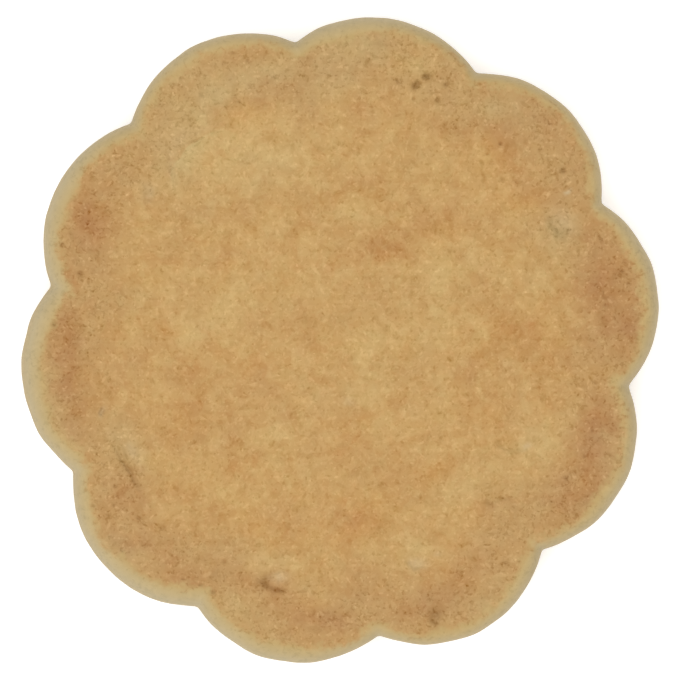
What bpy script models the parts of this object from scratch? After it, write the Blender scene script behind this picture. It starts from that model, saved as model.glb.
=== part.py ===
"""A flower shortbread cookie: one flat piece of baked dough with ten round lobes.

Lengths are written in millimetres and turned into metres when the mesh is made, +Z is up.
The origin is on the surface that the cookie lies on, under the middle of its box.
The flat browned face looks up, and the paler face lies below.
"""

import math

import bmesh
import bpy
import numpy as np

MM = 0.001

# Height of the browned face, and of the line where the side bulges out furthest.
THICKNESS = 7.5
WIDEST_HEIGHT = 3.4

# The side curves in by this much on its way down to the flat face that the cookie lies on.
FOOT_INSET = 1.8

# 2 gives an ellipse, and more gives a squarer shoulder.
SHOULDER_POWER = 2.3
FOOT_POWER = 2.0

# One row for each lobe: its direction in degrees from +X, how far its centre lies from the
# middle, its radius, and how far the side curves in from the widest line up to the face.
# The cutter's even 36 degree steps have been pushed about a little by handling and baking.
LOBES = (
    (9.9, 20.72, 12.45, 1.55),
    (46.0, 21.13, 12.36, 1.18),
    (81.0, 20.45, 13.13, 1.65),
    (116.0, 21.10, 12.73, 1.32),
    (150.2, 20.26, 12.93, 1.90),
    (188.3, 19.72, 13.27, 2.00),
    (224.9, 20.96, 12.67, 1.80),
    (258.9, 20.83, 12.78, 1.65),
    (294.8, 20.90, 12.37, 1.35),
    (332.8, 20.23, 12.62, 1.45),
)

# The valley between two lobes is sharp at the widest line and softer the further in it runs.
VALLEY_SOFTNESS = 0.12
VALLEY_SOFTNESS_PER_INSET = 0.10

# Dents of the browned face: place, length, width, turn of the length from +X, and depth.
# A dent's depth falls off from its middle as a bell curve of this steepness.
DENT_STEEPNESS = 1.5
DENTS = {
    "left groove": (-21.7, -13.0, 5.2, 1.2, -59, 0.28),
    "lower crescent": (-6.4, -24.7, 3.9, 2.6, -8, 0.30),
    "lower hollow": (7.8, -23.0, 2.4, 1.4, 0, 0.18),
    "deep pit": (9.9, -28.5, 1.9, 1.3, 80, 0.32),
    "long hollow": (16.6, -16.1, 4.6, 1.6, 14, 0.20),
    "short hollow": (17.5, -10.8, 4.0, 2.0, -3, 0.18),
    "right oval": (22.9, 12.1, 4.6, 3.1, -48, 0.20),
    "right hollow": (27.5, 4.8, 1.7, 1.2, 85, 0.16),
    "upper left dip": (-19.7, 15.4, 2.6, 1.8, 80, 0.12),
    "upper left band": (-17.2, 18.3, 4.2, 1.6, -83, 0.12),
    "left pit": (-24.4, -7.3, 1.4, 1.0, 75, 0.22),
    "top pit": (7.9, 26.3, 1.3, 1.1, 50, 0.40),
    "top twin pit": (9.0, 27.2, 1.4, 1.1, 0, 0.42),
    "upper right pit": (15.4, 19.8, 1.4, 1.1, 40, 0.16),
}

# The face isn't quite level: a few broad waves run over it, and finer ones round the outline.
# The face's relief fades out down the side with this power of the height.
WAVE_SEED = 7
WAVE_COUNT = 9
WAVE_LENGTHS = (8.0, 26.0)
WAVE_HEIGHT = 0.035
RELIEF_FADE_POWER = 2.0
OUTLINE_WAVES = 8
OUTLINE_WAVE_COUNTS = (14, 60)
OUTLINE_WAVE_HEIGHT = 0.012

# Spacing of the rings and points of the fine mesh, and the triangles left after thinning it.
RING_POINTS = 360
SIDE_STEPS_BELOW = 7
SIDE_STEPS_ABOVE = 9
FACE_STEP = 0.6
TRIANGLES = 9000
FLAT_TOLERANCE = 0.01

DOUGH_COLOUR = (0.552, 0.328, 0.130, 1.0)
DOUGH_ROUGHNESS = 0.8

random_source = np.random.RandomState(WAVE_SEED)


def random_waves(count, lowest, highest):
    """Return seeded rows of wave length or count, direction and phase."""
    size = random_source.uniform(lowest, highest, count)
    direction = random_source.uniform(0.0, math.pi, count)
    phase = random_source.uniform(0.0, 2.0 * math.pi, count)
    return list(zip(size, direction, phase))


FACE_WAVES = random_waves(WAVE_COUNT, *WAVE_LENGTHS)
EDGE_WAVES = random_waves(OUTLINE_WAVES, *OUTLINE_WAVE_COUNTS)


def side_inset(angle):
    """How far the side curves in above the widest line, in the given directions."""
    directions = [math.radians(row[0]) for row in LOBES]
    insets = [row[3] for row in LOBES]
    return np.interp(angle, directions, insets, period=2.0 * math.pi)


def outline(angle, inset):
    """Distance from the middle to the edge: the outer hull of the lobe circles, set in."""
    softness = VALLEY_SOFTNESS + VALLEY_SOFTNESS_PER_INSET * inset
    total = np.zeros_like(angle)
    for direction, reach, radius, _ in LOBES:
        turn = angle - math.radians(direction)
        half_chord = (radius - inset) ** 2 - (reach * np.sin(turn)) ** 2
        ahead = (np.cos(turn) > 0.0) & (half_chord > 0.0)
        hit = reach * np.cos(turn) + np.sqrt(np.maximum(half_chord, 0.0))
        total += np.where(ahead, np.exp(hit / softness), 0.0)
    distance = softness * np.log(total)
    for count, _, phase in EDGE_WAVES:
        distance += OUTLINE_WAVE_HEIGHT * np.sin(round(count) * angle + phase)
    return distance


def face_relief(x, y):
    """Height of the browned face above or below its own level at the given places."""
    height = np.zeros_like(x)
    for length, direction, phase in FACE_WAVES:
        along = x * math.cos(direction) + y * math.sin(direction)
        height += WAVE_HEIGHT * np.sin(2.0 * math.pi * along / length + phase)
    for dent_x, dent_y, length, width, turn, depth in DENTS.values():
        turn = math.radians(turn)
        along = (x - dent_x) * math.cos(turn) + (y - dent_y) * math.sin(turn)
        across = (y - dent_y) * math.cos(turn) - (x - dent_x) * math.sin(turn)
        reach = (2.0 * along / length) ** 2 + (2.0 * across / width) ** 2
        height -= depth * np.exp(-DENT_STEEPNESS * reach)
    return height


def ring(distance, angle, height):
    """Points of one ring, with the face's relief fading out down the side."""
    x = distance * np.cos(angle)
    y = distance * np.sin(angle)
    share = max(0.0, (height - WIDEST_HEIGHT) / (THICKNESS - WIDEST_HEIGHT))
    z = height + share ** RELIEF_FADE_POWER * face_relief(x, y)
    return np.column_stack((x, y, z))


def cookie_rings():
    """All rings, from the edge of the resting face up the side and in over the browned face."""
    angle = np.linspace(0.0, 2.0 * math.pi, RING_POINTS, endpoint=False)
    rings = []
    for step in range(SIDE_STEPS_BELOW):
        quarter = 0.5 * math.pi * step / SIDE_STEPS_BELOW
        inset = FOOT_INSET * (1.0 - math.sin(quarter) ** (2.0 / FOOT_POWER))
        height = WIDEST_HEIGHT * (1.0 - math.cos(quarter) ** (2.0 / FOOT_POWER))
        rings.append(ring(outline(angle, inset), angle, height))
    for step in range(SIDE_STEPS_ABOVE + 1):
        quarter = 0.5 * math.pi * step / SIDE_STEPS_ABOVE
        share = 1.0 - math.cos(quarter) ** (2.0 / SHOULDER_POWER)
        rise = math.sin(quarter) ** (2.0 / SHOULDER_POWER)
        height = WIDEST_HEIGHT + (THICKNESS - WIDEST_HEIGHT) * rise
        edge = outline(angle, side_inset(angle) * share)
        rings.append(ring(edge, angle, height))
    face_rings = round(float(edge.mean()) / FACE_STEP)
    for step in range(1, face_rings):
        rings.append(ring(edge * (1.0 - step / face_rings), angle, THICKNESS))
    return rings


def loft(name, rings):
    """Join the rings into one closed mesh, with a flat face below and a centre point on top."""
    mesh = bpy.data.meshes.new(name)
    shape = bmesh.new()
    loops = [[shape.verts.new(point) for point in points] for points in rings]
    for lower, upper in zip(loops, loops[1:]):
        for index in range(RING_POINTS):
            following = (index + 1) % RING_POINTS
            corners = (lower[index], lower[following], upper[following], upper[index])
            shape.faces.new(corners)
    middle = shape.verts.new((0.0, 0.0, rings[-1][:, 2].mean()))
    for index in range(RING_POINTS):
        shape.faces.new((loops[-1][index], loops[-1][(index + 1) % RING_POINTS], middle))
    shape.faces.new(list(reversed(loops[0])))
    bmesh.ops.triangulate(shape, faces=shape.faces)
    bmesh.ops.recalc_face_normals(shape, faces=shape.faces)
    shape.to_mesh(mesh)
    shape.free()
    return mesh


def thin_out(cookie):
    """Keep the triangles where the surface bends, and put the resting face back in its plane."""
    thinning = cookie.modifiers.new("thinning", "DECIMATE")
    thinning.ratio = TRIANGLES / len(cookie.data.polygons)
    thinning.use_collapse_triangulate = True
    bpy.context.view_layer.update()
    evaluated = cookie.evaluated_get(bpy.context.evaluated_depsgraph_get())
    cookie.data = bpy.data.meshes.new_from_object(evaluated)
    cookie.modifiers.remove(thinning)
    points = np.array([vertex.co for vertex in cookie.data.vertices])
    points[points[:, 2] < FLAT_TOLERANCE, 2] = 0.0
    middle = (points.min(axis=0) + points.max(axis=0)) / 2.0
    points[:, :2] -= middle[:2]
    cookie.data.vertices.foreach_set("co", (points * MM).ravel())
    cookie.data.update()


def dough_material():
    """Golden brown baked dough, dull and dry."""
    material = bpy.data.materials.new("baked dough")
    material.use_nodes = True
    shader = material.node_tree.nodes["Principled BSDF"]
    shader.inputs["Base Color"].default_value = DOUGH_COLOUR
    shader.inputs["Roughness"].default_value = DOUGH_ROUGHNESS
    shader.inputs["Metallic"].default_value = 0.0
    return material


def main():
    for old in list(bpy.data.objects):
        bpy.data.objects.remove(old)
    parts = bpy.data.collections.new("flower shortbread cookie")
    bpy.context.scene.collection.children.link(parts)
    cookie = bpy.data.objects.new("cookie", loft("cookie", cookie_rings()))
    parts.objects.link(cookie)
    thin_out(cookie)
    cookie.data.materials.clear()
    cookie.data.materials.append(dough_material())
    cookie.data.shade_smooth()


main()
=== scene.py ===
"""The looks of a flower shortbread cookie, seen from straight above its browned face.

The cookie's outline, side and waves repeat the named values of the solid's source. On top of
them come the dents' walls, the pits, the crumb's fine relief, the browning and the pale side.
The paint holds painted shade in the pits, in the pores and on the dents' steep walls, and
painted light on the dents' lit walls and down the steep side.
Lengths are in millimetres and are turned into metres when the mesh is made.
"""
import math

import bmesh
import bpy
import numpy as np
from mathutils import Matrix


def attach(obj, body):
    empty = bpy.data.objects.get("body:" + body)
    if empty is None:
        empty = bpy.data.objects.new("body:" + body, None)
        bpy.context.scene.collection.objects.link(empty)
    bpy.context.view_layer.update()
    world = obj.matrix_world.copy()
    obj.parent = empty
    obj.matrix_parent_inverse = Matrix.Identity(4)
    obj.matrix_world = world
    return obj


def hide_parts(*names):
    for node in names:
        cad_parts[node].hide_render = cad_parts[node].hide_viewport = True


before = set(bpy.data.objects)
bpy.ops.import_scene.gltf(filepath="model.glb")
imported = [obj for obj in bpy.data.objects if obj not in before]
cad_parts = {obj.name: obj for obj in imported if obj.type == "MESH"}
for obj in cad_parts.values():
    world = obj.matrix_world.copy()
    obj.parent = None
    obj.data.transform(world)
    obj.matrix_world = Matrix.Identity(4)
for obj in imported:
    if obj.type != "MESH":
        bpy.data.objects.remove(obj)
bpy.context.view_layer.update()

MM = 0.001

# The solid's form, as in its source. Only the dents differ: they lie at about the same places,
# but have walls of their own, and the small pits below make part of their depth. A lobe has
# the direction and reach of its centre, its radius, and how far its side curves in. A dent
# has its place, length, width, turn and depth
THICKNESS = 7.5
WIDEST_HEIGHT = 3.4
FOOT_INSET = 1.8
SHOULDER_POWER = 2.3
FOOT_POWER = 2.0
LOBES = (
    (9.9, 20.72, 12.45, 1.55),
    (46.0, 21.13, 12.36, 1.18),
    (81.0, 20.45, 13.13, 1.65),
    (116.0, 21.10, 12.73, 1.32),
    (150.2, 20.26, 12.93, 1.90),
    (188.3, 19.72, 13.27, 2.00),
    (224.9, 20.96, 12.67, 1.80),
    (258.9, 20.83, 12.78, 1.65),
    (294.8, 20.90, 12.37, 1.35),
    (332.8, 20.23, 12.62, 1.45),
)
VALLEY_SOFTNESS = 0.12
VALLEY_SOFTNESS_PER_INSET = 0.10
DENTS = {
    "left groove": (-21.2, -12.3, 4.4, 1.6, -58, 0.12),
    "lower crescent": (-6.4, -24.7, 3.9, 2.8, -8, 0.30),
    "lower hollow": (7.8, -23.0, 2.4, 1.4, 0, 0.16),
    "deep pit": (10.0, -28.5, 1.9, 1.4, 80, 0.04),
    "long hollow": (16.6, -16.1, 4.6, 1.6, 14, 0.16),
    "short hollow": (17.5, -10.8, 4.0, 2.0, -3, 0.16),
    "right oval": (22.9, 12.1, 4.6, 3.1, -48, 0.22),
    "right hollow": (27.5, 4.8, 1.7, 1.2, 85, 0.14),
    "upper left dip": (-19.7, 15.4, 2.6, 1.8, 80, 0.08),
    "upper left band": (-17.2, 18.3, 4.2, 1.6, -83, 0.08),
    "left pit": (-24.4, -7.3, 1.3, 0.8, 75, 0.14),
    "upper right pit": (15.4, 19.8, 1.4, 1.1, 40, 0.10),
}
WAVE_SEED = 7
WAVE_COUNT = 9
WAVE_LENGTHS = (8.0, 26.0)
WAVE_HEIGHT = 0.035
OUTLINE_WAVES = 8
OUTLINE_WAVE_COUNTS = (14, 60)
OUTLINE_WAVE_HEIGHT = 0.012

# Browned and pale places of the face: place, length, width, turn and strength
BROWNED = (
    (-25.7, 12.6, 5.6, 3.1, 100, 1.02),
    (-28.1, 0.2, 7.6, 2.8, 95, 0.76),
    (-27.4, -4.9, 6.2, 3.7, 100, 0.70),
    (-12.3, 8.5, 4.5, 3.1, 20, 0.35),
    (4.5, 9.3, 5.0, 2.4, 10, 1.00),
    (9.6, 13.1, 6.2, 3.1, 25, 0.75),
    (13.1, 12.1, 2.9, 2.1, -30, 0.35),
    (19.9, 15.4, 3.7, 2.5, 0, 0.95),
    (16.2, 20.5, 5.4, 3.7, -20, 0.60),
    (26.8, 6.1, 7.8, 4.1, 80, 0.82),
    (28.9, 0.7, 3.9, 3.0, 90, 1.00),
    (19.9, -0.8, 9.5, 5.6, -35, 0.60),
    (15.5, -8.0, 3.7, 2.9, 90, 0.60),
    (27.1, -9.0, 8.6, 3.5, 85, 0.78),
    (23.4, -15.2, 6.2, 4.1, 50, 0.72),
    (12.4, -24.1, 5.8, 3.7, 15, 0.45),
    (9.0, -27.2, 6.2, 3.0, 10, 0.50),
    (1.1, -18.6, 4.9, 3.5, 0, 1.10),
    (-5.4, -18.6, 5.4, 2.9, 0, 0.55),
    (0.8, -10.4, 4.1, 2.9, 80, 0.60),
    (-10.6, -13.1, 5.4, 4.1, -30, 0.55),
    (-14.4, -7.0, 7.8, 5.8, 20, 0.55),
    (-7.9, -3.9, 4.1, 4.1, 0, 0.45),
    (-13.6, -3.1, 3.7, 2.7, 0, 0.40),
    (-20.5, -0.8, 4.9, 3.7, 0, 0.30),
    (-4.1, 1.3, 4.1, 2.5, 0, 0.30),
    (7.6, -13.1, 6.2, 3.1, 25, 0.35),
    (-19.2, -20.7, 5.8, 4.5, -40, 0.45),
    (-22.3, -15.8, 4.5, 3.3, 100, 0.50),
    (-15.7, -24.1, 5.4, 2.7, -20, 0.60),
    (-6.8, -25.8, 6.2, 2.7, -20, 0.70),
    (-2.0, -28.9, 7.0, 3.3, -10, 0.75),
    (2.8, 23.9, 6.2, 2.5, 0, 0.45),
    (-10.2, 23.3, 6.2, 2.5, 15, 0.25),
    (11.4, 22.1, 4.5, 2.5, -25, 0.35),
    (7.3, 29.8, 4.5, 2.5, -30, 0.20),
    (-15.4, 26.0, 4.1, 3.3, 40, 0.10),
    (13.1, -1.4, 5.4, 2.9, 85, 0.35),
    (3.9, 16.9, 3.3, 1.6, 0, 0.35),
    (18.6, 1.3, 3.3, 2.9, 0, 0.35),
    (18.9, 17.5, 4.5, 2.5, -30, 0.50),
    (15.5, 7.4, 2.5, 2.5, 0, 0.45),
    (25.3, 10.8, 2.0, 2.5, 0, 0.60),
    (-23.1, -3.6, 4.0, 3.0, 0, 0.45),
    (-20.9, -13.5, 3.6, 1.6, -57, 0.40),
    (-17.5, 1.4, 2.8, 3.4, 0, 0.40),
    (-9.1, 2.0, 2.6, 3.0, 0, 0.35),
    (-28.0, 5.6, 2.4, 3.0, 0, 0.50),
    (14.1, -3.6, 2.4, 3.4, 0, 0.35),
    (16.4, -16.4, 3.6, 1.1, 14, 0.45),
    (21.5, 22.2, 6.0, 3.4, -50, 0.40),
    (-28.4, 5.6, 3.4, 3.4, 0, 0.35),
    (9.3, -20.7, 4.0, 3.4, 0, 0.25),
    (28.6, 5.0, 12.0, 5.0, 95, 0.38),
    (27.0, -12.0, 13.0, 5.0, 65, 0.36),
    (-26.5, 12.6, 12.0, 5.0, 62, 0.26),
)
PALE = (
    (-16.2, 18.7, 6.2, 4.9, 70, -0.30),
    (-12.3, 15.7, 6.2, 4.9, 40, -0.30),
    (-6.1, 19.2, 10.3, 4.9, 10, -0.60),
    (1.4, 14.4, 4.1, 3.1, 0, -0.50),
    (6.2, 17.8, 5.8, 3.3, -10, -0.35),
    (2.1, 31.0, 7.4, 3.3, 0, -0.70),
    (-7.5, 27.4, 6.2, 2.7, 15, -0.50),
    (-11.3, 4.8, 5.4, 4.5, 45, -0.50),
    (-15.1, 1.3, 3.7, 2.9, 0, -0.60),
    (2.4, -1.1, 5.4, 4.9, 90, -0.50),
    (0.8, -5.9, 3.3, 2.1, 0, -0.50),
    (9.6, 2.0, 8.2, 5.8, 90, -0.40),
    (12.4, 7.5, 8.2, 4.9, 20, -0.40),
    (23.4, 11.3, 4.1, 3.7, 90, -0.70),
    (20.7, 7.5, 5.4, 4.5, -50, -0.35),
    (19.9, -10.4, 4.5, 4.1, 30, -0.70),
    (13.1, -14.5, 8.2, 3.1, 20, -0.35),
    (8.0, -22.0, 4.1, 3.1, 20, -0.70),
    (-5.4, -22.7, 5.4, 2.3, -10, -0.55),
    (-21.9, -9.6, 5.4, 4.1, 110, -0.55),
    (-20.2, -12.4, 2.9, 2.5, 0, -0.50),
    (-12.3, -15.8, 4.9, 1.9, -10, -0.45),
    (-6.1, -9.6, 5.4, 3.5, 0, -0.35),
    (3.5, -4.2, 3.3, 2.5, 0, -0.30),
    (-21.3, 4.1, 4.1, 2.9, 0, -0.30),
    (17.9, -15.8, 4.1, 1.9, 10, -0.40),
    (14.5, -26.8, 4.1, 2.7, 30, -0.60),
    (-10.2, -28.2, 4.5, 2.3, -25, -0.50),
    (15.8, 24.7, 6.2, 2.7, -15, -0.50),
    (22.7, 19.8, 4.9, 2.9, 110, -0.30),
    (23.1, -3.9, 2.6, 2.2, 0, -0.50),
    (-18.9, 18.2, 3.4, 3.0, 0, -0.30),
    (-1.4, 25.9, 3.6, 2.4, 0, -0.60),
    (7.8, 28.7, 4.0, 2.6, -20, -0.70),
    (10.6, 23.7, 3.4, 2.2, 0, -0.45),
    (-16.4, 27.9, 4.6, 3.0, 40, -0.60),
    (-7.7, -24.6, 3.0, 2.2, 0, -0.40),
    (3.6, -8.4, 3.0, 2.4, 0, -0.40),
    (-19.5, -22.4, 4.0, 2.6, -40, -0.50),
    (9.5, 29.8, 6.0, 2.6, -30, -0.35),
    (-13.8, 23.4, 8.0, 5.0, 35, -0.65),
    (-19.6, 19.6, 4.6, 3.6, 45, -0.35),
    (-30.0, -4.7, 9.0, 2.4, 95, -0.55),
    (-23.8, -22.2, 8.0, 2.4, -45, -0.45),
    (28.6, -11.2, 7.0, 2.4, 75, -0.50),
    (0.3, 28.8, 6.0, 3.0, 0, -0.30),
    (15.6, 0.6, 3.2, 3.0, 0, -0.45),
    (-13.4, 26.4, 11.0, 5.0, 28, -0.34),
)

# Places of the face that are more orange, or greener where negative: rows as above
WARMTH = (
    (2.9, 31.2, 8.2, 3.3, 0, -1.00),
    (-5.1, 27.1, 11.3, 3.7, 8, -0.70),
    (-16.4, 18.9, 7.2, 5.1, 60, -0.50),
    (-8.0, 18.0, 11.3, 4.5, 5, -0.60),
    (23.1, 11.5, 3.5, 2.9, 0, -0.50),
    (17.8, 24.1, 9.3, 3.1, -25, -0.60),
    (-14.7, 13.6, 4.7, 2.7, 20, -0.70),
    (-9.0, 6.6, 2.1, 1.9, 0, -0.50),
    (-14.0, 2.0, 3.7, 3.1, 0, -0.40),
    (19.6, 7.0, 6.2, 4.1, -30, -0.40),
    (19.6, -10.6, 3.7, 2.9, 0, -0.60),
    (-22.4, -8.7, 3.5, 3.1, 0, -0.60),
    (-21.0, -11.3, 3.1, 2.5, -60, -0.50),
    (-22.4, -20.9, 6.2, 2.7, -50, -0.90),
    (-27.6, -8.8, 6.2, 2.3, -60, -0.70),
    (14.1, -27.2, 5.1, 2.3, 30, -0.70),
    (26.0, -15.5, 5.1, 2.3, 55, -0.70),
    (-7.0, -23.3, 4.5, 2.7, 0, -0.60),
    (7.8, -22.0, 4.1, 2.3, 0, -0.50),
    (12.6, -14.3, 6.2, 2.3, 15, -0.40),
    (-4.1, -6.2, 6.2, 6.2, 0, -0.20),
    (4.7, 4.1, 9.3, 4.1, 0, -0.20),
    (-11.8, 25.2, 6.2, 3.1, 30, -0.50),
    (-17.5, 26.2, 4.1, 3.1, 45, -0.50),
    (-14.4, 22.4, 7.6, 4.6, 40, -0.50),
    (-25.1, 13.1, 4.5, 5.8, 0, 0.80),
    (-21.0, 12.3, 3.1, 2.7, 0, 0.60),
    (-28.3, 0.4, 2.5, 7.2, 0, 0.20),
    (-25.9, -4.3, 3.5, 6.2, 0, 0.60),
    (19.3, 15.0, 4.1, 2.7, 0, 1.50),
    (14.1, 20.0, 7.2, 3.1, -30, 0.80),
    (5.0, 9.0, 7.8, 2.3, 5, 0.60),
    (9.9, 12.5, 6.8, 3.5, 15, 0.80),
    (-11.9, 8.0, 2.3, 2.1, 0, 0.70),
    (-22.7, 6.2, 2.7, 2.1, 0, 0.50),
    (-18.2, 0.7, 2.3, 2.1, 0, 0.60),
    (-9.7, -2.3, 3.7, 3.5, 0, 0.80),
    (-16.0, -7.8, 5.8, 4.5, -20, 0.70),
    (0.8, -9.8, 4.1, 3.9, 0, 1.00),
    (-10.2, -13.4, 7.8, 3.1, -15, 0.80),
    (1.5, -19.0, 4.9, 3.7, 0, 1.50),
    (2.8, -16.1, 3.1, 2.7, 0, 0.80),
    (-5.1, -19.0, 9.9, 3.1, 0, 0.80),
    (8.5, -13.3, 6.2, 2.5, 20, 0.70),
    (15.5, -7.8, 3.3, 2.7, 0, 1.20),
    (19.6, 0.7, 6.2, 4.5, -35, 1.00),
    (23.3, -4.4, 6.8, 4.5, -30, 0.80),
    (14.1, -1.5, 4.1, 3.1, 0, 0.50),
    (28.8, 0.7, 2.3, 2.9, 0, 0.50),
    (28.1, 7.0, 3.5, 5.8, 0, 0.50),
    (12.6, -23.8, 6.2, 3.1, 15, 0.40),
    (-16.4, -18.3, 4.1, 2.7, -30, 0.70),
    (24.8, -13.9, 2.7, 5.1, -35, 0.60),
    (-3.5, -26.8, 7.2, 2.5, 0, 0.60),
    (2.8, 24.4, 6.8, 1.6, 0, 0.50),
    (-10.1, 22.7, 4.1, 2.5, 0, 0.70),
    (-30.0, -4.5, 9.0, 2.4, 95, -0.90),
    (-24.0, -21.8, 8.6, 2.4, -48, -0.80),
    (28.6, -11.5, 8.6, 2.6, 75, -0.90),
    (25.4, -17.2, 5.0, 2.2, 50, -0.50),
    (23.7, 19.0, 5.0, 3.0, -60, -0.50),
    (0.2, 28.8, 5.0, 3.6, 0, -0.60),
    (6.4, 29.3, 4.4, 3.2, 0, 0.80),
    (-28.2, 6.0, 5.4, 3.2, 0, 0.60),
    (-15.5, 12.6, 4.6, 3.6, 0, -0.50),
    (-1.0, -16.4, 6.0, 3.0, 0, 0.40),
    (25.5, -3.2, 6.0, 3.0, 0, 0.50),
)

# Paler places in and beside the dents, partly bare crumb where the crust has come off and partly
# painted light on the dents' walls that face the light: rows as above
BARED_AND_LIT = (
    (-21.4, -11.2, 1.5, 1.1, -57, 0.45),
    (-20.6, -12.6, 2.4, 0.9, -57, 0.20),
    (-6.3, -24.4, 2.0, 1.2, 0, 0.60),
    (23.4, 15.3, 0.6, 0.5, 0, 1.20),
    (19.1, -11.0, 1.0, 0.6, 30, 0.60),
    (23.0, 12.2, 3.0, 2.2, -48, 0.45),
    (-19.7, 15.4, 2.0, 1.4, 80, 0.40),
    (-17.3, 17.8, 4.0, 1.2, -86, 0.20),
    (-14.6, 21.4, 5.0, 1.3, 18, 0.16),
    (-16.4, 20.4, 2.2, 1.2, 45, 0.14),
    (-24.4, -7.3, 1.1, 0.6, 75, 0.70),
    (7.8, -23.0, 2.0, 1.2, 0, 0.60),
    (0.9, -6.3, 1.2, 0.9, 0, 0.45),
    (10.1, -21.9, 0.9, 0.6, 0, 0.35),
)

# A flap of paler, greener crust, palest along its crisp upper left edge: a row as above. Its
# edge and the paling behind it are shares of the half width
FLAP = (-13.0, 17.3, 9.2, 7.4, 40, 0.85)
FLAP_SIDE = math.radians(130.0)
FLAP_EDGE = 0.06
FLAP_WIDTH = 0.75
FLAP_GREENNESS = 0.5

# The pale side runs further in over the face in these directions: degrees and reach
PALE_REACH = (
    (5, 0.05), (18, 0.25), (30, 0.0), (42, 0.2), (54, -0.05), (66, -0.35), (78, 0.0),
    (90, 0.5), (102, 0.0), (118, 0.3), (128, -0.15), (140, -0.05), (150, 0.4), (162, 0.0),
    (176, 0.45), (186, 0.45), (198, 0.0), (212, 0.1), (229, 0.5), (246, 0.25), (258, 0.25),
    (270, 0.1), (284, -0.15), (295, 0.0), (306, 0.35), (318, 0.0), (330, 0.25), (345, 0.0),
)

# The camera stands nearer to the face than to the outline, so the places read there in the
# photo lie this much too far out
NEARNESS = 1.006
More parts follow.
